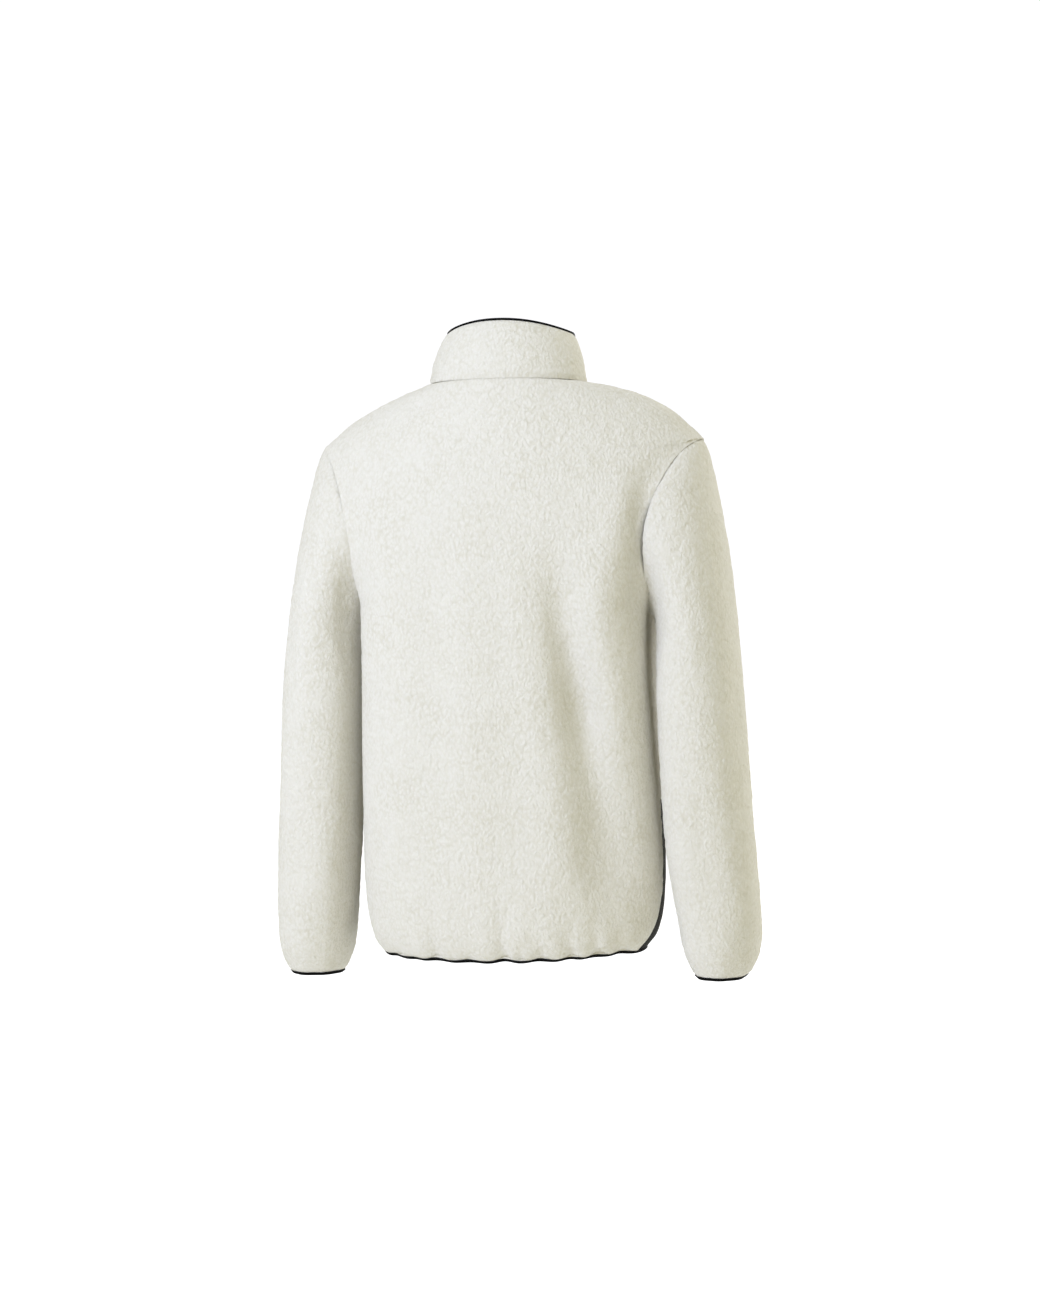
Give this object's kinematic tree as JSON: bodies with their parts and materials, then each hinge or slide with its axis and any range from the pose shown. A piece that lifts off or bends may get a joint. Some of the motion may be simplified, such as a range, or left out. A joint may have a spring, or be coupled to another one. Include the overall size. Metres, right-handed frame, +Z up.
{
  "type": "sherpa fleece jacket",
  "caption": "Zip-up sherpa fleece jacket filled out as if worn, with stand collar, set-in sleeves, gathered hem and cuffs and smooth woven lower fronts.",
  "frame": {"origin": "in the neck opening, level with the foot of the collar, where the jacket is held by its wearer", "axes": "+Z up, -Y out of the front, +X towards the wearer's left"},
  "size_m": [0.593, 0.2597, 0.7807],
  "materials": {
    "cream_sherpa": "curly knitted pile, cream",
    "black_woven": "smooth plain weave, faint sheen, black",
    "black_binding": "thin knitted elastic binding, black",
    "zip_tape": "woven zip tape, black",
    "zip_teeth": "moulded teeth, satin black",
    "zip_metal": "enamelled, satin black"
  },
  "bodies": {
    "jacket": {"back": "cream_sherpa", "front_left": "cream_sherpa", "front_right": "cream_sherpa", "lower_front_left": "black_woven", "lower_front_right": "black_woven", "sleeve_left": "cream_sherpa", "sleeve_right": "cream_sherpa", "collar": "cream_sherpa", "collar_binding": "black_binding", "hem_binding": "black_binding", "cuff_binding_left": "black_binding", "cuff_binding_right": "black_binding", "zip_tape_left": "zip_tape", "zip_tape_right": "zip_tape", "zip_chain": "zip_teeth", "zip_slider": "zip_metal"},
    "pull_tab": {"zip_pull": "zip_metal"}
  },
  "joints": [
    {"name": "pull_tab_swing", "type": "hinge", "parent": "jacket", "child": "pull_tab", "pos_m": [0, -0.06398, -0.01063], "axis": [-1, 0, 0], "range_deg": [0, 150]}
  ]
}
